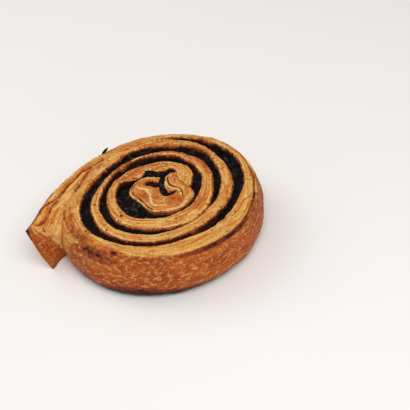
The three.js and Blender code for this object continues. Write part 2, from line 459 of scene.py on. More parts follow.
# Foot of the end face and its tip, in plan, and how far its top edge lies below the rim.
END_FACE = (np.array([-58.7, -10.6]), np.array([-76.3, -15.1]))
END_FACE_FALL = np.array([(56.0, 13.0), (59.6, 11.0), (64.3, 6.5), (69.2, 3.4), (73.0, 1.6),
                          (77.5, 0.4)])
END_FACE_REACH = 13.0
# How far the shoulders on both sides of the crevice fall, by the angle of the coil's side.
COIL_VALLEY = np.array([(1195, 0.0), (1215, 0.3), (1232, 0.7), (1252, 1.7), (1260, 2.8), (1272, 3.0),
                        (1290, 1.6), (1310, 0.4), (1330, 0.0)])
TAIL_VALLEY = np.array([(1555, 0.0), (1575, 0.3), (1592, 0.7), (1612, 1.7), (1620, 3.2), (1626, 5.0),
                        (1629, 4.5), (1630.5, 2.0), (1631.4, 0.0)])
VALLEY_REACH = 6.5
# Stretches that took more heat: angle, reach, share of the ribbon's width, reach, strength.
ROASTS = [
    (762, 30, 0.72, 0.42, 0.95), (700, 26, 0.45, 0.35, 0.55), (830, 34, 0.18, 0.26, 0.75),
    (905, 28, 0.10, 0.22, 0.55), (1175, 46, 0.86, 0.30, 0.60), (1118, 20, 0.15, 0.30, 0.40),
    (1290, 24, 0.72, 0.40, 0.55), (1310, 20, 0.84, 0.20, 0.80), (1500, 26, 0.30, 0.40, 0.45),
    (1552, 26, 0.62, 0.35, 0.60), (676, 20, 0.30, 0.26, 0.70), (1020, 26, 0.55, 0.22, 0.45),
    (560, 30, 0.80, 0.28, 0.45), (1080, 30, 0.80, 0.30, 0.55), (470, 60, 0.55, 0.45, 0.70),
    (810, 40, 0.75, 0.30, 0.70), (1388, 26, 0.28, 0.22, 0.45), (1440, 30, 0.62, 0.20, 0.45),
]


# Burnt spots under the rim: strength, turn, reach along it, depth below the rim, reach in depth.
BURNT_SPOTS = [(1.22, 218, 5.0, 1.8, 2.2), (1.12, 226.5, 4.8, 2.8, 1.7), (0.76, 225, 13, 2.8, 3.6)]
# Stretches with drifts of cocoa dust: angle, reach, strength.
FRECKLES = [(470, 90.0, 1.0), (830, 60.0, 0.9), (1160, 60.0, 0.7)]
# How far cocoa stains the dough beside it.
STAIN_REACH = 0.78


def edge_fall(distance, width, depth):
    """How far a rounded edge lies below the top at a distance in from it."""
    short = 1 - np.clip(distance / width, 0, 1)
    return depth * (1 - np.sqrt(np.maximum(1 - short**2.2, 0)))


def valley_fall(distance, width, depth):
    """How far a hollow's slope lies below the top at a distance in from its lowest line."""
    return depth * (1 - np.clip(distance / width, 0, 1)) ** 2


def lift(angle, radius):
    """Uneven rise of the turns in the oven."""
    along = np.radians(angle) * radius
    return 0.55 * layered(along / 34.0, 0.0, 0.0, 41, 2) + 0.2 * noise(along / 9.0, 3.3, 0.0, 44)


def end_face_distance(x, y):
    """Distance in plan from the line of the tail's end face, towards its back."""
    foot, tip = END_FACE
    heading = (tip - foot) / np.linalg.norm(tip - foot)
    return heading[1] * (x - foot[0]) - heading[0] * (y - foot[1])


def ribbon_baking_and_shade(at):
    """How each point of the ribbon was baked, with painted shade in its grooves, holes, flakes and
    crease: three vectors for each point of its sections.
    """
    fray = (0.5 * layered(at.run / 6, at.lateral / 2.0, 0.0, 51)
            + 0.3 * layered(at.run / 1.6, at.lateral / 1.2, 0.0, 53, 2))
    turn = np.mod(at.angle, 360) + 0 * at.z

    # Crust of the side. It stays golden where the tail shields it, starts lower down at the left
    # front, and is a little paler at the right.
    limb = bell(turn, 197, 10.0)
    early = 1.5 * bell(turn, 232, 18.0)
    near_rim = at.exposed * ramp(at.share + 0.07 * fray, 0.86, 1.0)
    crusty = ramp(at.below_out + early + 1.6 * fray, -0.7, 1.0 + 9 * limb)
    toast = np.clip(at.is_top * near_rim * 0.7 + at.skin * crusty, 0, 1)
    toast = toast * (1 - 0.62 * limb * at.skin * (1 + 0.5 * fray))
    toast = toast * (1 - 0.34 * at.skin * bell(np.mod(turn + 180, 360), 175, 24.0))
    # The tail's end face, from its crusty lower corner to the pale stretch by the crevice.
    behind_all = end_face_distance(at.plan_x, at.plan_y)
    crusty_from = np.interp(at.radius, [56, 61, 66, 72, 77], [-3.0, 9.0, 19.5, 25.0, 27.0])
    facing = ramp(behind_all, 5.0, 1.0) * at.tail * (at.is_top + at.is_in)
    mottled = (5.0 * noise(at.radius / 2.6, at.z / 2.6, 0.0, 59)
               + 2.5 * noise(at.radius / 1.1, at.z / 1.1, 0.0, 60))
    toast = np.maximum(toast, 0.9 * facing * ramp(crusty_from - at.z + mottled, -2.0, 4.0))
    toast = np.maximum(toast, 0.45 * at.tail * at.is_top * ramp(at.radius + 3 * fray, 66, 77))
    toast = np.maximum(toast, at.is_low)
    roast = np.zeros_like(at.z)
    for middle, spread, place, half, strength in ROASTS:
        roast = roast + strength * np.exp(-((at.angle - middle) / spread) ** 2
                                          - ((at.share - place) / half) ** 2)
    roast = np.clip(roast * (0.75 + 0.9 * fray) + 0.75 * at.torn * (0.8 + fray), 0, 1) * at.is_top

    # Walls of the grooves: stained by the cocoa, and darker the deeper they lie, as painted shade. Less
    # so where it sank, by the crevice, and at the back, where the walls face the light (painted light).
    hidden_in = at.is_in * (1 - at.tail) * (1 - ramp(at.angle, 1585, 1605))
    hidden_out = at.is_out * (1 - at.exposed) * (1 - ramp(at.angle, 1222, 1245))
    bare, bare_in = stretch(at.angle, SUNK_COCOA), stretch(at.angle, BARE_INSIDE)
    lit = 1 - 0.5 * bell(turn, 90, 50.0)
    groove_stain_and_shade = np.clip(hidden_in * ramp(at.below_in * lit * (1 - 0.6 * bare_in), -0.6, 2.8)
                     + hidden_out * ramp(at.below_out * (1 - 0.75 * bare), -0.6, 2.8), 0, 1)
    # Painted shade in the holes where the tail tore away.
    groove_stain_and_shade = np.maximum(groove_stain_and_shade, 0.6 * at.hole)

    # Edges beside the cocoa: a brown stain, then a pale layer.
    wet_in = np.clip(at.gap_inside / 2, 0, 1)
    wet_out = np.clip(at.gap_outside / 2, 0, 1)
    stain = (np.exp(-at.from_inner / STAIN_REACH) * wet_in
             + np.exp(-at.from_outer / STAIN_REACH) * wet_out)
    stain = np.clip(stain * (1 + 0.9 * fray), 0, 1) * (at.is_top + at.is_in + at.is_out)
    # The stain takes in part of the painted groove shade.
    stain = np.maximum(stain, 0.35 * groove_stain_and_shade)
    pale = bell(at.from_inner, 1.3, 0.6) * wet_in + 0.6 * bell(at.from_outer, 1.4, 0.6) * wet_out
    pale = pale * (0.35 + 1.3 * layered(at.run / 14, at.lateral / 3, 0.0, 55, 2))
    pale = np.clip(pale, 0, 1) * at.is_top
    pale = np.maximum(pale, 0.7 * bell(at.from_inner, 0, 4.5) * at.tail * (0.6 + fray))

    # Burnt places: the foot of the crust, patches under the rim at the left front, a line along the rim
    # at the right front, and the edges of the tail. Painted shade darkens the flaky edges and the
    # crease along with them.
    last = at.exposed * (at.angle < TAIL_INNER[0, 0])

    def spot(strength, place, reach_turn, under, reach_under):
        return strength * np.exp(-((turn - place + 2.5 * fray) / reach_turn) ** 2
                                 - ((at.below_out - under + 1.2 * fray) / reach_under) ** 2)

    foot_high = 2.5 + 5.8 * bell(turn, 256, 36.0)
    near_foot = at.is_out + at.is_low * np.exp(-at.from_outer / 3.0)
    foot_line = near_foot * ramp(at.z + 3.2 * fray, foot_high + 2.6, foot_high - 3.0)
    at_left = bell(turn, 217, 15.0)
    foot_edge = near_foot * at_left * 1.25 * ramp(at.z + 2.8 * fray, 1.5 + 6.0 * at_left,
                                                  5.0 * at_left - 0.5)
    patch = np.maximum.reduce([spot(*burnt) for burnt in BURNT_SPOTS]) * at.is_out
    patch = patch * (0.85 + 0.5 * noise(at.run / 1.9, at.lateral / 1.5, 0.0, 57))
    bar_across = np.where(at.is_top > 0, bell(at.from_outer, 0.5, 0.8),
                          at.is_out * bell(at.below_out, 0, 0.5))
    bar = 1.25 * bell(turn - 236 + fray, 0, 2.6) * bar_across
    reaching = (0.34 + 0.66 * stretch(at.angle, RIM_LINE_DARK)) * stretch(at.angle, RIM_LINE)
    inward = ramp(at.angle, 1392, 1430)
    line = reaching * (0.90 + 0.7 * fray) * (
        at.is_out * (1 - inward) * bell(at.below_out - 0.7 + 0.9 * fray, 0, 0.9)
        + at.is_top * bell(at.from_outer - 1.7 * inward + 0.5 * fray, 0, 0.75))
    tip = ramp(at.angle, 1580, 1612) * at.is_top * np.exp(-at.from_outer / 0.85) * (1.15 + fray)
    corner = ramp(at.radius + 0.8 * fray, 75.2, 77.0) * ramp(at.z + fray, 23.5, 26.5)
    tail_foot = at.tail * (at.is_out + at.is_in) * ramp(at.z + 1.2 * fray, 1.9, 0.7)
    burn_and_shade = np.maximum.reduce([last * np.maximum(0.96 * foot_line, foot_edge), last * patch, last * bar,
                              last * line, tip, corner, tail_foot, 0.75 * at.flake, 0.55 * at.crease])
    burn_and_shade = np.clip(burn_and_shade, 0, 1)

    freckled = sum(strength * bell(at.angle, middle, spread) for middle, spread, strength in FRECKLES)

    def packed(first, second, third):
        return np.stack([field + 0 * at.z for field in (first, second, third)], axis=-1)

    return {"bake": packed(toast, groove_stain_and_shade, stain),
            "marks": packed(burn_and_shade, np.maximum(at.crack, 0.0), pale),
            "roast": packed(roast, freckled, 0.0)}


def dough_ribbon(name, start, end, step, counts, weights, strips):
    """The stretch of the wound dough from one angle to another, as one closed mesh.

    Sections lie `step` mm apart. counts and weights give the points and the share of the bake for the
    inner wall, the top, the outer wall and the underside. strips is how many rows the bake has.
    """
    inner_count, top_count, outer_count, bottom_count = counts
    angle = rung_angles(start, end, step, ribbon_inner, ribbon_outer)
    a, b = ribbon_inner(angle), ribbon_outer(angle)
    width = np.maximum(b - a, 0.6)
    b = a + width
    exposed = ramp(angle, *EXPOSED_FROM)
    tail = ramp(angle, *TAIL_FROM)
    gap_inside = np.where(angle < CORE_EDGE[-1, 0], 2.0, filling_width(angle - 360))
    gap_inside = np.where(angle - 360 > FILLING_END, 0.0, gap_inside)
    gap_outside = np.where(angle > FILLING_END, 0.0, filling_width(angle))
    coil_valley = np.interp(angle, COIL_VALLEY[:, 0], COIL_VALLEY[:, 1])
    tail_valley = np.interp(angle, TAIL_VALLEY[:, 0], TAIL_VALLEY[:, 1])
    column = (slice(None), None)

    # Top, from the inner edge to the outer edge.
    u = np.linspace(0, 1, top_count)
    s = (u - 0.085 * np.sin(2 * np.pi * u))[None, :]
    top_r = a[column] + s * width[column]
    from_in, from_out = s * width[column], (1 - s) * width[column]
    soft_in = np.minimum(1.3 + 0.35 * np.clip(gap_inside, 0, 4), 0.45 * width)
    # Where the tail pulls away from the coil the two still hang together by soft crumb.
    tender_in = 1 - 0.75 * stretch(angle, TENDER_INSIDE)
    tender_out = 1 - 0.75 * stretch(angle, TENDER_OUTSIDE)
    deep_in = (0.6 + 0.42 * np.clip(gap_inside, 0, 3.5)) * tender_in
    soft_out = np.minimum(1.3 + 0.35 * np.clip(gap_outside, 0, 4) + 1.8 * exposed, 0.45 * width)
    deep_out = (0.6 + 0.42 * np.clip(gap_outside, 0, 3.5) + 1.1 * exposed) * tender_out
    top_z = (RIM_Z + crown(top_r) + lift(angle, (a + b) / 2)[column] * (1 - 0.7 * tail[column])
             - edge_fall(from_in, soft_in[column], deep_in[column])
             - edge_fall(from_out, soft_out[column], (deep_out * (1 - 0.6 * tail))[column]))
    # The shoulders on both sides of the crevice, and the tail's slope down to its end face.
    reach = np.minimum(VALLEY_REACH, 0.8 * width)[column]
    top_x, top_y = to_plan(angle[column], top_r)
    behind = end_face_distance(top_x, top_y)
    end_fall = (np.interp(top_r, END_FACE_FALL[:, 0], END_FACE_FALL[:, 1]) * tail[column]
                * np.clip(1 - behind / END_FACE_REACH, 0, 1) ** 2.2)
    side_fall = valley_fall(from_in, reach, tail_valley[column])
    top_z = top_z - valley_fall(from_out, reach, coil_valley[column]) - np.hypot(end_fall, side_fall)

    def wall(count):
        return np.linspace(0, 1, count + 2)[1:-1][None, :]

    # Inner wall, upwards, and outer wall, downwards, past the bulge where it is exposed.
    v = wall(inner_count)
    in_z = v * top_z[:, :1]
    in_r = np.repeat(a[column], inner_count, axis=1) + 0.5 * (1 - v) * (1 - tail[column])
    v = wall(outer_count)
    drop = v * (1 - 0.16 * np.sin(np.pi * v))
    out_z = top_z[:, -1:] * (1 - drop)
    skew = np.interp(angle, SKEW[:, 0], SKEW[:, 1]) * exposed
    proud = curve_at(SIDE_PROFILE, out_z) + skew[column] * (1 - out_z / RIM_Z)
    out_r = b[column] + proud * (exposed * (1 - 0.75 * tail))[column] - 0.6 * v * (1 - exposed[column])
    # Underside, back to the inner wall.
    v = wall(bottom_count)
    foot = b + exposed * (1 - 0.75 * tail) * (SIDE_PROFILE[0, 1] + skew)
    low_r = foot[column] + v * (a - foot)[column]
    low_z = 0.5 * (np.abs(2 * v - 1) ** 8) * np.ones_like(low_r)

    radius = np.concatenate([in_r, top_r, out_r, low_r], axis=1)
    z = np.concatenate([in_z, top_z, out_z, low_z], axis=1)
    size = radius.shape[1]
    plan_x, plan_y = to_plan(angle[column], radius)
    # The tail's end leans: its foot is nearer the coil than its top corner.
    past = ramp(radius, TAIL_ROOT_RADIUS, TAIL_TIP_RADIUS + 4) * 1.35 * ramp(angle, 1592, 1618)[column]
    down = 1 - np.clip(z / RIM_Z, 0, 1)
    x, y = plan_x + TAIL_LEAN[0] * past * down, plan_y + TAIL_LEAN[1] * past * down
    points = np.stack([x, y, z], axis=-1)

    # Where each point lies on the section.
    top_cells = slice(inner_count, inner_count + top_count)
    is_top = np.zeros(size)
    is_top[top_cells] = 1
    is_in = np.zeros(size)
    is_in[:inner_count] = 1
    is_out = np.zeros(size)
    is_out[inner_count + top_count:inner_count + top_count + outer_count] = 1
    is_low = 1 - is_top - is_in - is_out
    share = np.concatenate([np.zeros((1, inner_count)), s, np.ones((1, outer_count)),
                            1 - wall(bottom_count)], axis=1)
    below_in = top_z[:, :1] - z
    below_out = top_z[:, -1:] - z
    along = np.interp(angle, RUN_ANGLE, RUN_LENGTH)
    on_tail = tail[column] * np.ones_like(z)
    from_end = np.clip(radius - CREVICE_RADIUS, 0, None)
    layer = (1 - on_tail) * share + on_tail * (1 - (b[column] - radius) / TAIL_WIDTH)
    lateral = np.where(is_in > 0, 8 * layer - below_in, 8 * layer + is_out * below_out)
    run = along[column] + is_in * on_tail * from_end
    grain = np.stack([run, lateral, z], axis=-1)

    # Detail in the surface: soft lumps, ridges and cracks of the layers on the cut top, torn
    # flakes and holes by the tail, blisters on the crust.
    normal = outward_normals(points, (slice(None), inner_count + top_count // 2))
    lumps = 0.34 * layered(x / 7, y / 7, z / 7, 3) + 0.14 * layered(x / 2.1, y / 2.1, z / 2.1, 5, 2)
    ridges = (0.30 * layered(run / 17, lateral / 1.05, 0.0, 21, 2)
              + 0.15 * layered(run / 6, lateral / 0.5, 0.0, 23, 2))
    seams = np.abs(layered(run / 40, lateral / 1.7, 0.0, 25, 2))
    crack = (ramp(seams, 0.10, 0.0)
             * ramp(layered(run / 26, lateral / 3.2, 0.0, 27, 2), 0.0, 0.45) * is_top)
    crack = crack * (1 - 0.85 * tail[column])
    crust = (0.22 * layered(run / 3.2, lateral / 1.7, 0.0, 31, 3)
             + 0.30 * noise(run / 15, lateral / 8, 0.0, 33))
    flake = np.zeros_like(z)
    hole = np.zeros_like(z)
    crease = np.zeros_like(z)
    torn = np.zeros_like(z)
    if end > CREVICE:
        sheet = (slice(None), top_cells)
        for line, half, depth in FLAKE_LINES:
            gap, _ = distance_to(polyline(line), plan_x[sheet], plan_y[sheet])
            gap = gap + 0.25 * noise(run[sheet] / 2.2, 0.0, 0.0, 35)
            flake[sheet] = np.maximum(flake[sheet], depth * bell(gap, 0, half))
            torn[sheet] = np.maximum(torn[sheet], bell(gap, 0, 2.0))
        gap, _ = distance_to(polyline(RIM_CREASE), plan_x[sheet], plan_y[sheet])
        crease[sheet] = bell(gap, 0, 0.45)
        for hole_x, hole_y, hole_r in HOLES:
            gap = np.hypot(plan_x - hole_x, (plan_y - hole_y) * 0.6)
            hole = np.maximum(hole, bell(gap, 0, hole_r) * is_top)
    flat = np.clip(z / 2.0, 0.12, 1)
    skin = exposed[column] * is_out
    settle = np.clip(np.minimum(from_in, from_out) / 0.7, 0.25, 1)
    settle = np.concatenate([np.full((len(angle), inner_count), 0.4), settle,
                             np.full((len(angle), outer_count), 1.0),
                             np.full((len(angle), bottom_count), 0.4)], axis=1)
    move = (lumps + is_top * (ridges - 0.28 * crack) * settle + skin * crust) * flat
    move = move * (1 - 0.6 * is_in * (1 - tail[column])) * (1 - 0.6 * is_out * (1 - exposed[column]))
    points = points + normal * move[..., None]
    points[..., 2] -= 0.9 * flake + 1.1 * hole + 0.45 * crease
    points[..., 2] = np.maximum(points[..., 2], 0.0)

    from_inner = np.concatenate([np.zeros((len(angle), inner_count)), from_in,
                                 np.repeat(width[column], outer_count, axis=1),
                                 low_r - a[column]], axis=1)
    section = SimpleNamespace(
        angle=angle[column], exposed=exposed[column], tail=tail[column], gap_inside=gap_inside[column],
        gap_outside=gap_outside[column], z=z, radius=radius, plan_x=plan_x, plan_y=plan_y, share=share,
        is_in=is_in, is_top=is_top, is_out=is_out, is_low=is_low,
        below_in=below_in, below_out=below_out, run=run, lateral=lateral,
        from_inner=from_inner, from_outer=np.maximum(width[column] - from_inner, 0),
        flake=flake, hole=hole, crease=crease, torn=torn, crack=crack, skin=skin)
    # The tube's ends take after the inner wall beside them.
    piece = tube_mesh(name, points, {"grain": grain, **ribbon_baking_and_shade(section)}, slice(0, inner_count))
    strip_uvs(piece, len(angle), size, strips, np.repeat(np.divide(weights, counts), counts))
    return piece


# ---- Core ----

# The folded heart of the roll: its outline seen from above, in mm.
CORE_OUTLINE = np.array([
    (17.6, -6.0), (15.9, -1.5), (13.2, 2.8), (12.4, 7.0), (11.0, 11.6), (8.0, 14.0), (5.0, 12.8),
    (2.6, 11.4),
    (-2.6, 12.2), (-7.6, 12.7), (-11.6, 11.6), (-14.6, 9.3), (-16.9, 6.0), (-17.9, 1.6),
    (-16.7, -2.3), (-14.0, -7.0), (-10.2, -13.8), (-7.2, -17.3), (-3.3, -19.4), (1.5, -20.0),
    (6.0, -19.9), (10.4, -17.7), (14.6, -13.3), (17.1, -9.4),
])
CORE_MIDDLE = np.array([0.0, -4.0])
CORE_Z = RIM_Z + 1.9
CORE_LOW_Z = 0.25

# Creases between the folds: points, half width and depth in mm.
CREASES = [
    ([(-12.2, 8.6), (-15.7, 5.4), (-16.2, 1.5), (-14.5, -2.8), (-11.4, -8.1), (-8.7, -13.2),
      (-6.8, -15.9)], 0.5, 0.8),
    ([(4.3, 9.6), (4.3, 6.0), (5.2, 2.4), (7.4, 0.2), (9.9, -1.6), (11.2, -5.8), (10.7, -9.0)],
     0.55, 1.1),
    ([(17.8, 1.2), (15.8, 2.3), (13.8, 3.0), (12.0, 5.4), (11.0, 8.7), (11.4, 10.2)], 0.6, 1.1),
    ([(2.6, 8.0), (1.6, 4.4), (2.6, 1.0), (4.2, -1.0), (5.0, -2.6)], 0.4, 0.5),
    ([(-5.0, -14.7), (-1.6, -16.0), (1.9, -16.3), (5.4, -16.1), (9.1, -14.2), (13.0, -10.7)],
     0.45, 0.3),
]
# Pale layers that show between the folds: points and half width.
PALE_LAYERS = [
    ([(-16.9, 4.0), (-17.5, 1.0), (-16.2, -2.8), (-13.0, -8.2), (-9.8, -14.0), (-6.9, -17.2),
      (-2.4, -18.8), (3.0, -19.0), (8.4, -17.6), (12.8, -13.8)], 0.75),
    ([(-14.2, 5.7), (-11.6, 2.7), (-8.6, 0.8), (-6.6, -3.7), (-6.5, -7.6), (-5.9, -12.8),
      (-3.7, -14.1)], 0.85),
    ([(3.4, 9.0), (1.9, 7.4), (0.9, 4.8), (1.2, 1.6), (2.6, -0.7), (3.6, -2.6)], 0.75),
    ([(3.3, 7.6), (3.3, 3.5), (5.2, -0.3), (8.3, -1.6), (10.1, -4.9), (10.2, -8.3)], 0.7),
    ([(-9.0, 11.2), (-4.0, 10.6), (-0.6, 10.0)], 1.2),
    ([(12.4, 11.4), (14.6, 9.0), (15.4, 6.0)], 0.9),
]
# Strips of filling in the core: points with their widths, in mm.
CORE_FILLING = [
    [(-17.0, 12.4, 3.0), (-14.0, 12.6, 2.0), (-11.4, 12.8, 1.8), (-8.6, 13.8, 2.2), (-6.3, 15.8, 5.4),
     (-3.4, 15.0, 4.6), (-0.6, 13.8, 4.4), (2.6, 13.2, 4.4), (4.8, 14.6, 3.4), (6.9, 15.8, 3.0),
     (8.9, 15.9, 1.9)],
    [(2.4, 13.0, 3.4), (1.5, 9.2, 2.6), (0.6, 5.4, 2.4), (0.5, 2.2, 2.8), (0.6, -0.6, 3.0),
     (1.4, -3.4, 3.2), (2.0, -5.6, 3.0), (4.4, -5.5, 2.4), (7.0, -4.0, 1.6)],
    [(-6.7, 6.2, 3.4), (-4.6, 5.4, 3.8), (-2.2, 4.0, 3.8), (0.2, 2.4, 3.0)],
]


def dough_core(name):
    """The S-folded heart of the dough, as one closed mesh with its folds pressed in."""
    outline = polyline(CORE_OUTLINE, 0.3, closed=True) - CORE_MIDDLE
    turn = np.arctan2(outline[:, 1], outline[:, 0])
    order = np.argsort(turn)
    sides = 400
    theta = -np.linspace(-np.pi, np.pi, sides, endpoint=False)
    reach = np.interp(theta, turn[order], np.hypot(outline[order, 0], outline[order, 1]),
                      period=2 * np.pi)
    reach = reach + 0.25 * layered(reach * theta / 3.0, 0.0, 0.0, 61)
    rows_top, rows_wall, rows_low = 96, 12, 8
    share = np.concatenate([np.linspace(0.02, 1, rows_top) ** 0.92, np.ones(rows_wall),
                            np.linspace(1, 0.02, rows_low + 1)[1:]])
    fall = np.concatenate([np.zeros(rows_top), np.linspace(0, 1, rows_wall + 1)[1:] ** 1.2,
                           np.ones(rows_low)])
    # Under the top folds the core widens, down to an underside that meets the coil.
    flare = 0.42 * bell(np.degrees(theta), 105, 55.0)
    radius = share[:, None] * reach[None, :] * (1 + flare[None, :] * fall[:, None] ** 2)
    x = CORE_MIDDLE[0] + radius * np.cos(theta)[None, :]
    y = CORE_MIDDLE[1] + radius * np.sin(theta)[None, :]
    from_edge = (1 - share[:, None]) * reach[None, :] * 0.93
    top = CORE_Z + 0.55 * layered(x / 9, y / 9, 0.0, 71, 2) + 0.5 * (1 - share[:, None] ** 3)
    top = top - edge_fall(from_edge, 2.6, 2.1)
    crease = np.zeros_like(x)
    for points, half, depth in CREASES:
        gap, _ = distance_to(polyline(points), x, y)
        gap = gap + 0.2 * noise(x / 2, y / 2, 0.0, 73)
        crease = np.maximum(crease, depth * bell(gap, 0, half))
        top = top - 0.35 * depth * bell(gap, 0, 1.8)
    pale = np.zeros_like(x)
    for points, half in PALE_LAYERS:
        gap, _ = distance_to(polyline(points), x, y)
        pale = np.maximum(pale, bell(gap, 0, half))
    cut = np.full_like(x, 99.0)
    for strip in CORE_FILLING:
        line = polyline(strip)
        gap, widths = distance_to(line, x, y, line[:, 2])
        cut = np.minimum(cut, gap - widths / 2 + 0.35 * noise(x / 1.6, y / 1.6, 0.0, 75))
    trench = 2.4 * ramp(cut, 0.35, -0.35) + 0.7 * ramp(cut, 1.5, 0.0)
    branch = np.clip(cut + 1.2, 0.3, None)
    flow = 11 * branch / (branch + from_edge + 0.2)
    z = np.empty_like(x)
    z[:rows_top] = (top - crease - trench)[:rows_top]
    edge_z = z[rows_top - 1]
    on_wall = slice(rows_top, rows_top + rows_wall)
    z[on_wall] = CORE_LOW_Z + (edge_z - CORE_LOW_Z)[None, :] * (1 - fall[on_wall, None])
    z[rows_top + rows_wall:] = CORE_LOW_Z
    points = np.stack([x, y, z], axis=-1)

    normal = outward_normals(points, 10)
    along = theta[None, :] * 12 + 0 * x
    is_top = np.zeros(x.shape)
    is_top[:rows_top] = 1
    is_low = np.zeros(x.shape)
    is_low[rows_top + rows_wall:] = 1
    settle = np.clip(cut / 0.8, 0.15, 1) * np.clip(radius / 4, 0, 1)
    ridges = (0.22 * layered(along / 12, flow / 0.9, 0.0, 81, 2)
              + 0.10 * layered(along / 4, flow / 0.4, 0.0, 83, 2))
    lumps = 0.26 * layered(x / 5, y / 5, z / 5, 85) + 0.12 * layered(x / 1.7, y / 1.7, z / 1.7, 87, 2)
    seams = np.abs(layered(along / 20, flow / 1.6, 0.0, 89, 2))
    crack = ramp(seams, 0.09, 0.0) * ramp(noise(x / 5, y / 5, 0.0, 93), -0.1, 0.4) * is_top
    move = ((lumps + (ridges - 0.2 * crack) * settle) * np.where(is_top > 0, 1, 0.15)
            * np.clip(z / 3, 0, 1))
    points = points + normal * move[..., None]

    fray = 0.5 * layered(x / 2, y / 2, 0.0, 91)
    # Painted shade: the wall darker the further it lies below the top's edge, and the top a little
    # darker at its very rim.
    below = np.clip(edge_z[None, :] - z, 0, 99) * (1 - is_top)
    groove_stain_and_shade = np.clip(ramp(below, -0.6, 2.8) * (1 - is_top)
                     + is_top * ramp(from_edge, 0.5, -0.4) * 0.4, 0, 1)
    stain = np.clip(np.exp(-np.maximum(cut, 0) / 0.42) * (1 + fray) * is_top
                    + np.exp(-from_edge / 0.45) * (0.8 + fray) * is_top, 0, 1)
    warm = 0.40 + 0.55 * layered(x / 7, y / 7, 0.0, 95, 3)
    values = {
        "grain": np.stack([along, flow, z], axis=-1),
        "bake": np.stack([is_low, groove_stain_and_shade * (1 - is_low), stain], axis=-1),
        # Painted shade: the creases between the folds go into the burnt marks and are darkened.
        "marks": np.stack([0.85 * np.clip(crease, 0, 1), crack, 0.95 * pale * (0.85 + fray) * is_top],
                          axis=-1),
        "roast": np.stack([np.clip(warm * (1 - pale), 0, 1) * is_top, 0.5 + 0.0 * x, 0.0 * x],
                          axis=-1),
    }
    piece = tube_mesh(name, points, values)
    disc_uvs(piece, len(share), sides, rows_top, rows_wall, share, theta)
    return piece


# ---- Cocoa filling ----

# Columns of points across a filling's top, down each of its walls and across its underside.
FILLING_COLUMNS, FILLING_WALL_CELLS, FILLING_UNDER_CELLS = 20, 5, 8


def surface_z(x, y):
    """Height of the dough's top over a plan position."""
    return RIM_Z + crown(np.hypot(x, y))


def crumble(points, amount):
    """How far the crumbly filling stands out or back at each point."""
    x, y, z = points[..., 0], points[..., 1], points[..., 2]
    coarse = layered(x / 2.6, y / 2.6, z / 2.6, 101, 3)
    pits = np.abs(layered(x / 1.2, y / 1.2, z / 1.2, 107, 2))
    return amount * (1.2 * coarse + 0.9 * (pits - 0.35))


def swept_filling(centre, width, recess, low_z):
    """Points of a closed strip of filling along a plan line, section by section."""
    along = np.gradient(centre, axis=0)
    along = along / np.maximum(np.linalg.norm(along, axis=1, keepdims=True), 1e-9)
    side = np.stack([along[:, 1], -along[:, 0]], axis=1)
    v = np.linspace(-1, 1, FILLING_COLUMNS)
    half = width[:, None] / 2
    x = centre[:, :1] + side[:, :1] * v[None, :] * half
    y = centre[:, 1:] + side[:, 1:] * v[None, :] * half
    z = surface_z(x, y) - recess[:, None] + 0.35 * np.abs(v[None, :]) ** 3
    down = np.linspace(0, 1, FILLING_WALL_CELLS + 2)[1:-1]

    def side_wall(column):
        wall_z = z[:, column] * (1 - down) + low_z * down
        return np.stack([x[:, column] + 0 * wall_z, y[:, column] + 0 * wall_z, wall_z], axis=-1)

    right, left = side_wall(slice(-1, None)), side_wall(slice(0, 1))[:, ::-1]
    top = np.stack([x, y, z], axis=-1)
    under_v = np.linspace(1, -1, FILLING_UNDER_CELLS)
    under_x, under_y = (centre[:, k:k + 1] + side[:, k:k + 1] * under_v * half for k in (0, 1))
    under = np.stack([under_x, under_y, np.full_like(under_x, low_z)], axis=-1)
    return np.concatenate([top, right, under, left], axis=1)


def filling_piece(name, points, amount, edge):
    """A crumbly closed mesh from the points of a swept filling, and how brown its edges are."""
    normal = outward_normals(points, (slice(None), FILLING_COLUMNS // 2))
    shift = crumble(points, amount)
    shift[:, FILLING_COLUMNS:] *= 0.15
    points = points + normal * shift[..., None]
    points[..., 2] = np.maximum(points[..., 2], 0.05)
    # How high each point stands: the material paints the raised tops lighter as painted highlight and
    # the pits darker as painted shade.
    raised = np.clip(0.5 + shift, 0, 1.2)
    return tube_mesh(name, points, {"lump": np.stack([edge, raised, 0 * raised], axis=-1)})


def spiral_filling(name):
    """The cocoa between the turns of the coil."""
    def middle(angle):
        return curve_at(FILLING, angle, 1)
    angle = rung_angles(FILLING_START - 3, FILLING_END, 0.5, middle, middle)
    radius = middle(angle)
    width = filling_width(angle)
    x, y = to_plan(angle, radius)
    along = np.radians(angle) * radius
    recess = 2.5 + 0.7 * layered(along / 14, 0.0, 0.0, 121, 2) - 0.36 * np.clip(width - 6, 0, 4)
    recess = recess + stretch(angle, SUNK_COCOA)
    ends = ramp(angle, FILLING_START - 3, FILLING_START + 3)
    points = swept_filling(np.stack([x, y], 1), (width + 1.1) * (0.3 + 0.7 * ends), recess, 0.35)
    amount = 0.5 + 0.13 * np.clip(width - 4, 0, 6)
    across = np.abs(np.linspace(-1, 1, FILLING_COLUMNS))[None, :] ** 3
    thin = stretch(angle, THIN_COCOA)
    edge = np.zeros(points.shape[:2])
    edge[:, :FILLING_COLUMNS] = 0.85 * across + 0.85 * thin[:, None]
    piece = filling_piece(name, points, amount[:, None], edge)
    rungs, size = edge.shape
    hidden = size - FILLING_COLUMNS
    # The top takes three quarters of the bake's height.
    strip_uvs(piece, rungs, size, 9, np.repeat([3.0 / FILLING_COLUMNS, 1.0 / hidden],
                                               [FILLING_COLUMNS, hidden]))
    return piece


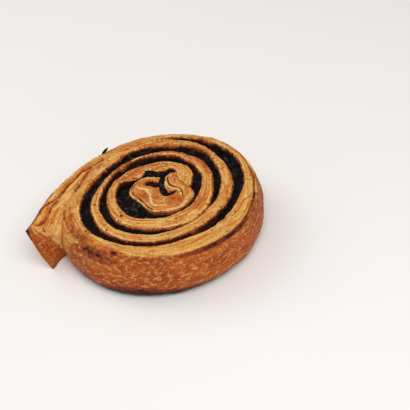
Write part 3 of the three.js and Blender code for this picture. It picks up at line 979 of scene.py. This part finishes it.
def core_filling(name):
    """The strips of cocoa in the core's folds."""
    parts = []
    for strip in CORE_FILLING:
        line = polyline(strip, 0.35)
        taper = np.minimum(np.arange(len(line)), np.arange(len(line))[::-1])
        width = (line[:, 2] + 0.7) * np.clip(0.35 + taper / 4, 0, 1)
        recess = 0.80 + 0 * width
        points = swept_filling(line[:, :2], width, recess, CORE_Z - 5)
        parts.append(filling_piece(name, points, 0.40, np.zeros(points.shape[:2])))
    return join(parts, name)


# Larger crumbs on the dough, as angle, radius and size.
CRUMB_SPOTS = [
    (136, 40.5, 0.50), (161, 41.9, 0.55), (185, 37.6, 0.50), (188, 30.1, 0.42), (214, 28.4, 0.75),
    (209, 49.5, 0.50), (212, 49.6, 0.42), (122, 31.1, 0.50), (219, 41.4, 0.40), (208, 27.3, 0.35),
    (217, 31.7, 0.42), (353, 39.6, 0.60), (325, 37.0, 0.45), (331, 18.5, 0.45), (128, 52.0, 0.35),
]
# A chip of baked cocoa that stands on the back of the rim.
CHIP_SPOT = (124, 51.6)
CHIP_SIZE = (2.7, 0.75, 0.8)
CHIP_LIFT = 1.2
CHIP_TILT = Matrix.Rotation(math.radians(14), 3, "Z") @ Matrix.Rotation(math.radians(-38), 3, "Y")
# Small crumbs strewn beside the filling, besides the larger ones above.
CRUMB_COUNT = 120


def crumb_places(count, seed):
    """Where small crumbs lie: most beside the filling, some scattered. Angle, radius, size."""
    draw = np.random.default_rng(seed)
    places = list(CRUMB_SPOTS)
    for _ in range(count):
        angle = draw.uniform(FILLING_START + 20, FILLING_END - 10)
        side = draw.choice([-1, 1])
        away = 0.2 + draw.exponential(0.8)
        radius = float(filling_edge(np.array([angle]), side)[0]) + side * away
        places.append((angle, radius, 0.12 + 0.26 * draw.random() ** 2.4))
    return places


def crumbs(name, dough_pieces, seed=17):
    """Crumbs of cocoa that lie on the dough, and the chip on its rim, as one mesh."""
    draw = np.random.default_rng(seed)
    bpy.context.view_layer.update()
    ball = bmesh.new()
    bmesh.ops.create_icosphere(ball, subdivisions=2, radius=1.0)
    unit = np.array([v.co[:] for v in ball.verts])
    faces = np.array([[v.index for v in f.verts] for f in ball.faces])
    ball.free()
    points, tris, layout = [], [], []
    places = crumb_places(CRUMB_COUNT, seed) + [CHIP_SPOT + (None,)]
    cells = int(math.ceil(math.sqrt(len(places))))
    for number, (angle, radius, grain_size) in enumerate(places):
        x, y = to_plan(angle, radius)
        top = -1.0
        for piece in dough_pieces:
            hit, where, _, _ = piece.ray_cast(Vector((x, y, 2 * TOP_Z)) * MM, Vector((0, 0, -1)))
            if hit:
                top = max(top, where.z / MM)
        if top < RIM_Z - 2.5 or radius > RIM_RADIUS:
            continue
        lumpy = 1 + 0.30 * layered(unit[:, 0] * 1.4 + number, unit[:, 1] * 1.4, unit[:, 2] * 1.4,
                                   141, 2)
        shape = unit * lumpy[:, None]
        if grain_size is None:
            shape = shape * CHIP_SIZE
            tilt = CHIP_TILT
            lift_by = CHIP_LIFT
        else:
            shape = shape * grain_size * draw.uniform(0.7, 1.35, 3)
            tilt = Matrix.Rotation(draw.uniform(0, 2 * math.pi), 3, "Z")
            lift_by = 0.25 * grain_size
        shape = shape @ np.array(tilt).T + np.array([x, y, top + lift_by])
        tris.append(faces + len(points) * len(unit))
        points.append(shape)
        # Bake layout: the two halves of a crumb side by side in a small cell.
        upper = unit[faces].mean(axis=1)[:, 2] > 0
        half_middle = np.where(upper, 0.27, 0.73)[:, None, None] * [1, 0]
        flat_place = unit[faces][:, :, :2] * 0.20 + half_middle + [0, 0.5]
        cell = np.array([number % cells, number // cells])
        layout.append((flat_place + cell) / cells)
    piece = write_mesh(name, np.concatenate(points), np.concatenate(tris).tolist(), {})
    layer = piece.data.uv_layers.new(name="OFBake")
    layer.data.foreach_set("uv", np.concatenate(layout).astype(np.float32).ravel())
    return piece


def join(parts, name):
    """One object from several, keeping the first."""
    for obj in bpy.context.selected_objects:
        obj.select_set(False)
    for part in parts:
        part.select_set(True)
    bpy.context.view_layer.objects.active = parts[0]
    bpy.ops.object.join()
    parts[0].name = name
    return parts[0]


# ---- Materials ----

def linear(red, green, blue):
    """A colour given as 0-255 display values, as linear light."""
    return tuple(((v / 255 + 0.055) / 1.055) ** 2.4 if v > 10 else v / 255 / 12.92
                 for v in (red, green, blue)) + (1.0,)


class Nodes:
    """Short forms for wiring a material."""

    def __init__(self, name):
        self.material = bpy.data.materials.new(name)
        self.material.use_nodes = True
        self.tree = self.material.node_tree
        self.shader = self.tree.nodes["Principled BSDF"]

    def add(self, kind, **settings):
        node = self.tree.nodes.new(kind)
        for key, value in settings.items():
            setattr(node, key, value)
        return node

    def link(self, source, target):
        self.tree.links.new(source, target)

    def feed(self, socket, value):
        """Sets a socket to a fixed value, or wires it to another socket."""
        if isinstance(value, (int, float, tuple)):
            socket.default_value = value
        else:
            self.link(value, socket)

    def attribute(self, name):
        return self.add("ShaderNodeAttribute", attribute_name=name).outputs["Vector"]

    def parts(self, name):
        """The three numbers kept in a vector attribute."""
        node = self.add("ShaderNodeSeparateXYZ")
        self.link(self.attribute(name), node.inputs[0])
        return node.outputs[0], node.outputs[1], node.outputs[2]

    def noise(self, vector, scale, detail, roughness, distortion=0.0):
        """Noise over a vector. The scale is one number, or one for each axis."""
        place = self.add("ShaderNodeMapping")
        place.inputs["Scale"].default_value = scale if isinstance(scale, tuple) else (scale,) * 3
        self.link(vector, place.inputs["Vector"])
        node = self.add("ShaderNodeTexNoise")
        for key, value in (("Scale", 1.0), ("Detail", detail), ("Roughness", roughness),
                           ("Distortion", distortion)):
            node.inputs[key].default_value = value
        self.link(place.outputs["Vector"], node.inputs["Vector"])
        return node.outputs["Fac"]

    def step(self, value, low, high, to_low=0.0, to_high=1.0):
        node = self.add("ShaderNodeMapRange", interpolation_type="SMOOTHSTEP")
        for key, number in (("From Min", low), ("From Max", high),
                            ("To Min", to_low), ("To Max", to_high)):
            node.inputs[key].default_value = number
        self.link(value, node.inputs["Value"])
        return node.outputs["Result"]

    def math(self, kind, first, second):
        node = self.add("ShaderNodeMath", operation=kind)
        self.feed(node.inputs[0], first)
        self.feed(node.inputs[1], second)
        return node.outputs["Value"]

    def product(self, *values):
        total = values[0]
        for value in values[1:]:
            total = self.math("MULTIPLY", total, value)
        return total

    def frayed(self, value, noise, amount):
        """A value made uneven by a noise."""
        return self.math("ADD", value, self.product(self.math("SUBTRACT", noise, 0.5), amount))

    def mix(self, factor, first, second):
        node = self.add("ShaderNodeMix", data_type="RGBA")
        factor_socket, first_socket, second_socket = (node.inputs[i] for i in (0, 6, 7))
        self.feed(factor_socket, factor)
        self.feed(first_socket, first)
        self.feed(second_socket, second)
        return node.outputs[2]

    def coat(self, under, value, low, high, strength, colour):
        """Lays a colour, given as 0-255, over another where a value rises from low to high."""
        return self.mix(self.step(value, low, high, 0.0, strength), under, linear(*colour))

    def bump(self, height, distance, strength=1.0, normal=None):
        node = self.add("ShaderNodeBump")
        node.inputs["Distance"].default_value = distance
        node.inputs["Strength"].default_value = strength
        self.link(height, node.inputs["Height"])
        if normal is not None:
            self.link(normal, node.inputs["Normal"])
        return node.outputs["Normal"]


def dough_material():
    """Baked laminated dough: a layered golden cut face, an orange-brown crust, dark edges, and painted
    shade in its grooves, cracks and creases.
    """
    n = Nodes("baked_dough")
    grain = n.attribute("grain")
    toast, groove_stain_and_shade, stain = n.parts("bake")
    burn_and_shade, crack, pale = n.parts("marks")
    roast, freckled, _ = n.parts("roast")
    place = n.add("ShaderNodeTexCoord").outputs["Object"]

    # Cut face: layers drawn out along the ribbon, toasted in streaks, with pale hairs between.
    bands = n.noise(grain, (0.040, 0.42, 0.0), 3.0, 0.55, 0.4)
    layers = n.noise(grain, (0.070, 0.95, 0.0), 3.0, 0.58, 0.5)
    hairs = n.noise(grain, (0.16, 3.1, 0.0), 3.0, 0.6, 0.3)
    patches = n.noise(place, 150.0, 4.0, 0.62)
    golden = n.mix(n.step(bands, 0.36, 0.62), linear(221, 160, 73), linear(207, 138, 53))
    golden = n.coat(golden, hairs, 0.52, 0.63, 0.85, (241, 207, 134))
    golden = n.coat(golden, layers, 0.48, 0.37, 0.58, (235, 193, 114))
    streak = n.product(n.step(layers, 0.51, 0.64), n.step(bands, 0.38, 0.56, 0.45, 1.0))
    golden = n.mix(n.product(streak, 0.90), golden, linear(189, 87, 21))
    toasted = n.product(n.step(patches, 0.50, 0.68), n.step(layers, 0.40, 0.58, 0.25, 1.0))
    golden = n.mix(n.product(toasted, 0.80), golden, linear(194, 96, 24))
    heat = n.frayed(roast, layers, 1.1)
    golden = n.coat(golden, heat, 0.18, 0.62, 0.85, (188, 88, 24))
    golden = n.coat(golden, heat, 0.66, 1.0, 0.75, (128, 52, 16))
    golden = n.coat(golden, pale, 0.15, 0.80, 0.75, (241, 206, 138))
    lines = n.product(n.step(hairs, 0.43, 0.31), n.step(layers, 0.62, 0.44))
    golden = n.mix(n.product(lines, 0.65), golden, linear(146, 64, 20))
    # Painted shade: the cracks between the layers are darkened.
    golden = n.coat(golden, crack, 0.25, 0.95, 0.60, (122, 50, 18))
    speckle = n.noise(place, 1300.0, 3.0, 0.6)
    golden = n.coat(golden, speckle, 0.50, 0.64, 0.22, (192, 98, 28))
    golden = n.coat(golden, speckle, 0.46, 0.34, 0.24, (243, 214, 150))
    # Freckles of burnt cocoa dust, in drifts.
    dust = n.noise(place, 820.0, 2.0, 0.5)
    drift = n.noise(place, 95.0, 3.0, 0.6)
    rise = n.math("ADD", n.math("ADD", dust, n.product(drift, 0.22)), n.product(freckled, 0.075))
    golden = n.coat(golden, rise, 0.72, 0.78, 0.80, (146, 58, 18))

    # Crust: orange-brown, mottled with pale blisters.
    tone = n.noise(place, (48.0, 48.0, 75.0), 4.0, 0.6)
    crust = n.mix(n.step(tone, 0.36, 0.64), linear(154, 60, 14), linear(188, 90, 26))
    coarse = n.noise(grain, (0.36, 0.56, 0.0), 5.0, 0.70, 0.5)
    small = n.noise(grain, (1.3, 1.75, 0.0), 3.0, 0.65, 0.3)
    mottle = n.math("ADD", n.product(coarse, 0.6), n.product(small, 0.4))
    crust = n.coat(crust, mottle, 0.500, 0.590, 0.72, (234, 176, 104))
    crust = n.coat(crust, mottle, 0.46, 0.39, 0.45, (136, 50, 14))
    crust = n.coat(crust, tone, 0.60, 0.74, 0.45, (120, 44, 14))

    blotch = n.noise(place, 125.0, 3.0, 0.5)
    crust = n.coat(crust, blotch, 0.66, 0.73, 0.65, (112, 38, 12))

    border = n.frayed(toast, coarse, 0.9)
    colour = n.mix(n.step(border, 0.18, 0.72), golden, crust)
    # Groove walls: caramel from the cocoa, going near black with depth as painted shade.
    stained_shaded_walls = n.coat(colour, groove_stain_and_shade, 0.0, 0.60, 1.0, (128, 54, 16))
    colour = n.coat(stained_shaded_walls, groove_stain_and_shade, 0.45, 0.95, 0.92, (34, 17, 10))
    ragged = n.noise(place, 560.0, 3.0, 0.62)
    reach = n.frayed(stain, ragged, 1.15)
    colour = n.coat(colour, reach, 0.20, 0.52, 0.85, (146, 60, 16))
    colour = n.coat(colour, reach, 0.64, 0.92, 0.92, (38, 16, 8))
    # Burnt marks, with painted shade in the flakes and creases.
    char_and_shade = n.frayed(burn_and_shade, ragged, 0.6)
    colour = n.coat(colour, char_and_shade, 0.18, 0.55, 0.85, (116, 38, 4))
    colour = n.coat(colour, char_and_shade, 0.70, 1.0, 0.94, (34, 14, 6))
    n.link(colour, n.shader.inputs["Base Color"])

    # Dull where it is cut, a slight sheen where butter baked into the crust.
    n.link(n.step(toast, 0.2, 0.9, 0.72, 0.50), n.shader.inputs["Roughness"])
    n.shader.inputs["Specular IOR Level"].default_value = 0.15
    n.shader.inputs["Subsurface Weight"].default_value = 0.05
    n.shader.inputs["Subsurface Radius"].default_value = (1.0, 0.45, 0.18)
    n.shader.inputs["Subsurface Scale"].default_value = 0.0015

    fine = n.noise(grain, (0.22, 2.6, 0.4), 5.0, 0.65, 0.2)
    crumb = n.noise(place, 900.0, 4.0, 0.6)
    relief = n.math("ADD", n.product(fine, 0.65), n.product(crumb, 0.35))
    blisters = n.bump(n.product(mottle, n.step(toast, 0.3, 0.9)), 0.0016, 0.7)
    n.link(n.bump(relief, 0.0006, 0.8, blisters), n.shader.inputs["Normal"])
    return n.material


def cocoa_material():
    """Baked cocoa paste: nearly black, grainy, with a faint gloss on its crumbs and painted highlight
    on the tops of its lumps.
    """
    n = Nodes("cocoa_filling")
    place = n.add("ShaderNodeTexCoord").outputs["Object"]
    grains = n.noise(place, 520.0, 3.0, 0.5)
    clumps = n.noise(place, 230.0, 3.0, 0.55)
    edge, raised, _ = n.parts("lump")
    # Painted highlight: grey on the raised tops of the lumps, as dust and light, and painted shade near
    # black in the pits.
    dust_and_highlight = n.frayed(n.product(raised, 0.8), grains, 2.0)
    colour = n.mix(n.step(dust_and_highlight, 0.42, 0.95), linear(7, 4, 3), linear(52, 44, 41))
    colour = n.coat(colour, clumps, 0.52, 0.66, 0.6, (24, 10, 6))
    baked = n.frayed(edge, grains, 0.9)
    colour = n.coat(colour, baked, 0.50, 0.95, 0.85, (74, 30, 11))
    n.link(colour, n.shader.inputs["Base Color"])
    n.link(n.step(clumps, 0.3, 0.7, 0.40, 0.66), n.shader.inputs["Roughness"])
    n.shader.inputs["Specular IOR Level"].default_value = 0.07
    n.link(n.bump(grains, 0.0012, 1.0), n.shader.inputs["Normal"])
    return n.material


def floor_material():
    """Plain pale floor."""
    n = Nodes("pale_floor")
    place = n.add("ShaderNodeTexCoord").outputs["Object"]
    soft = n.noise(place, 6.0, 2.0, 0.5)
    colour = n.mix(soft, linear(243, 241, 238), linear(247, 245, 243))
    n.link(colour, n.shader.inputs["Base Color"])
    n.shader.inputs["Roughness"].default_value = 0.8
    return n.material


# ---- Pieces ----

def finish_piece(piece, material):
    """Gives a piece its material and ties it to the frame."""
    piece.data.materials.clear()
    piece.data.materials.append(material)
    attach(piece, "root")
    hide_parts(NODE)


dough, cocoa = dough_material(), cocoa_material()
inner_turns = dough_ribbon("dough_inner_turns", RIBBON_START, SPLIT, 0.45,
                           counts=(8, 34, 8, 5), weights=(1.4, 5, 1.4, 0.6), strips=11)
outer_turn = dough_ribbon("dough_outer_turn", SPLIT, RIBBON_END, 0.55,
                          counts=(12, 34, 44, 9), weights=(2, 5, 5, 1.2), strips=7)
core = dough_core("dough_core")
filling = spiral_filling("cocoa_spiral")
folds = core_filling("cocoa_folds")
scattered = crumbs("cocoa_crumbs", (inner_turns, outer_turn, core))
for piece in (inner_turns, outer_turn, core):
    finish_piece(piece, dough)
for piece in (filling, folds, scattered):
    finish_piece(piece, cocoa)


# ---- Floor, light and camera ----

FLOOR_SIZE = 6.0
LIT_POINT = (0, 0, 0.01)


def add_floor():
    bpy.ops.mesh.primitive_plane_add(size=FLOOR_SIZE, location=(0, 0, node_low.z))
    floor = bpy.context.object
    floor.name = "floor"
    floor.data.materials.append(floor_material())


def add_area_light(name, location, size, power):
    data = bpy.data.lights.new(name, "AREA")
    data.shape = "DISK"
    data.size = size
    data.energy = power
    light = bpy.data.objects.new(name, data)
    light.location = location
    direction = Vector(LIT_POINT) - Vector(location)
    light.rotation_euler = direction.to_track_quat("-Z", "Y").to_euler()
    bpy.context.collection.objects.link(light)


def add_world(strength):
    world = bpy.data.worlds.new("studio")
    world.use_nodes = True
    background = world.node_tree.nodes["Background"]
    background.inputs["Color"].default_value = (1.0, 0.985, 0.965, 1.0)
    background.inputs["Strength"].default_value = strength
    bpy.context.scene.world = world


# The roll's top is seen from this height, with the roll's upright leaning to the left.
VIEW_ELEVATION = math.radians(38.6)
VIEW_LEAN = math.radians(8.7)
VIEW_DISTANCE = 0.700
LENS_MM, SENSOR_MM = 111.3, 36.0
# Where the coil's middle lies in the frame, as shares of its width from the centre.
FRAME_OFFSET = (-0.106, 0.034)


def add_camera():
    target = Vector((0, 0, RIM_Z * MM))
    away = Vector((0, -math.cos(VIEW_ELEVATION), math.sin(VIEW_ELEVATION)))
    data = bpy.data.cameras.new("camera")
    data.lens, data.sensor_width = LENS_MM, SENSOR_MM
    camera = bpy.data.objects.new("camera", data)
    facing = (-away).to_track_quat("-Z", "Y").to_matrix() @ Matrix.Rotation(-VIEW_LEAN, 3, "Z")
    seen = Vector((FRAME_OFFSET[0], FRAME_OFFSET[1], -LENS_MM / SENSOR_MM)).normalized()
    aim = seen.rotation_difference(Vector((0, 0, -1))).to_matrix()
    camera.matrix_world = Matrix.Translation(target + away * VIEW_DISTANCE) @ (facing @ aim).to_4x4()
    bpy.context.collection.objects.link(camera)
    bpy.context.scene.camera = camera


add_floor()
add_area_light("key", location=(0.15, -0.55, 0.85), size=0.8, power=6.0)
add_area_light("back", location=(-0.55, 0.45, 0.65), size=0.7, power=2.2)
add_world(strength=0.46)
add_camera()
bpy.context.scene.view_settings.view_transform = "Standard"
